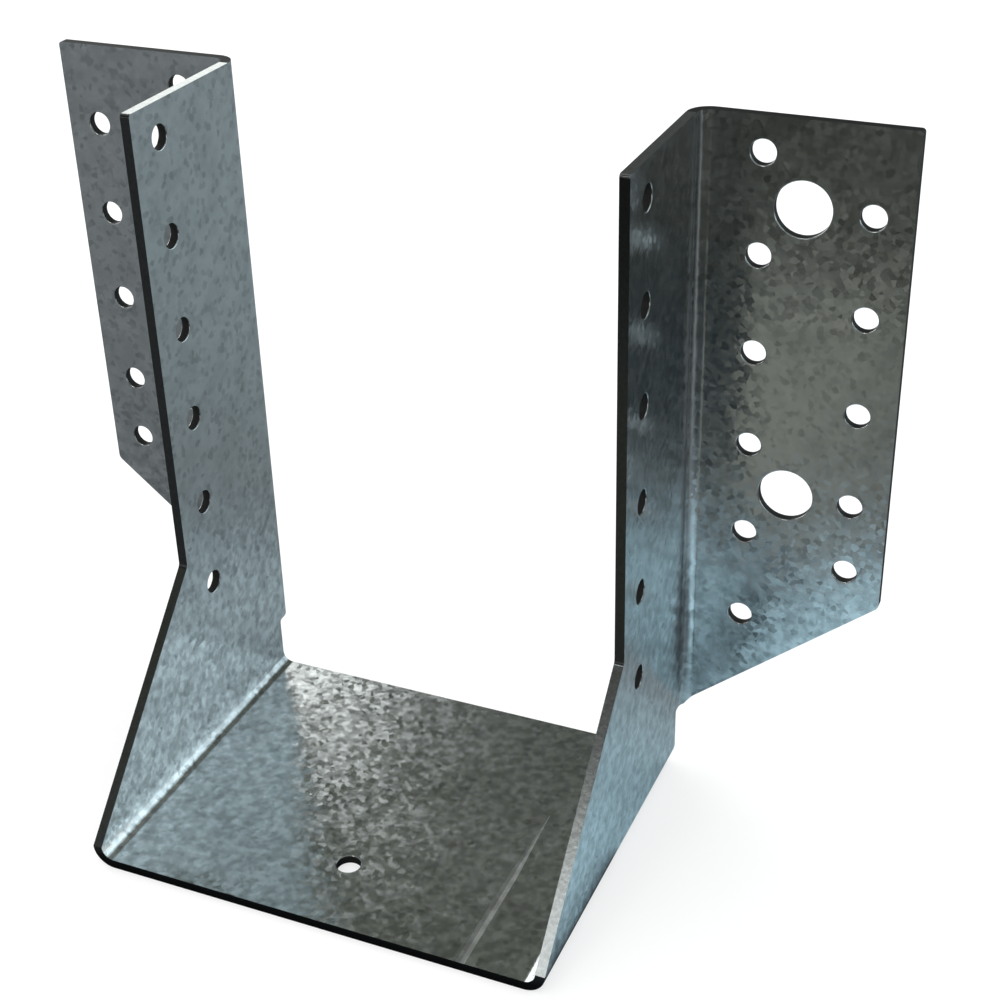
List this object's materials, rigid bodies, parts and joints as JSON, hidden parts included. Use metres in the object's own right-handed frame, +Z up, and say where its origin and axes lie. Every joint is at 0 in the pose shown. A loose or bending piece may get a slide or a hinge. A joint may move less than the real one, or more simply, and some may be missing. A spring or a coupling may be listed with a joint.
{
  "type": "joist hanger",
  "caption": "Sheet steel joist hanger: a folded seat and two side plates hold the joist's end, and flanges turned outwards, with nail and bolt holes, fix it to the header.",
  "frame": {"origin": "under the seat, halfway across the pocket and halfway from the seat's front edge to the header face", "axes": "+X across the joist to the right, seen from the joist; +Y along the joist towards the header; +Z up"},
  "size_m": [0.181, 0.082, 0.146],
  "materials": {
    "galvanised_sheet": "galvanised steel, satin to glossy with a fine spangle"
  },
  "bodies": {
    "root": {"hanger": "galvanised_sheet"}
  },
  "joints": []
}
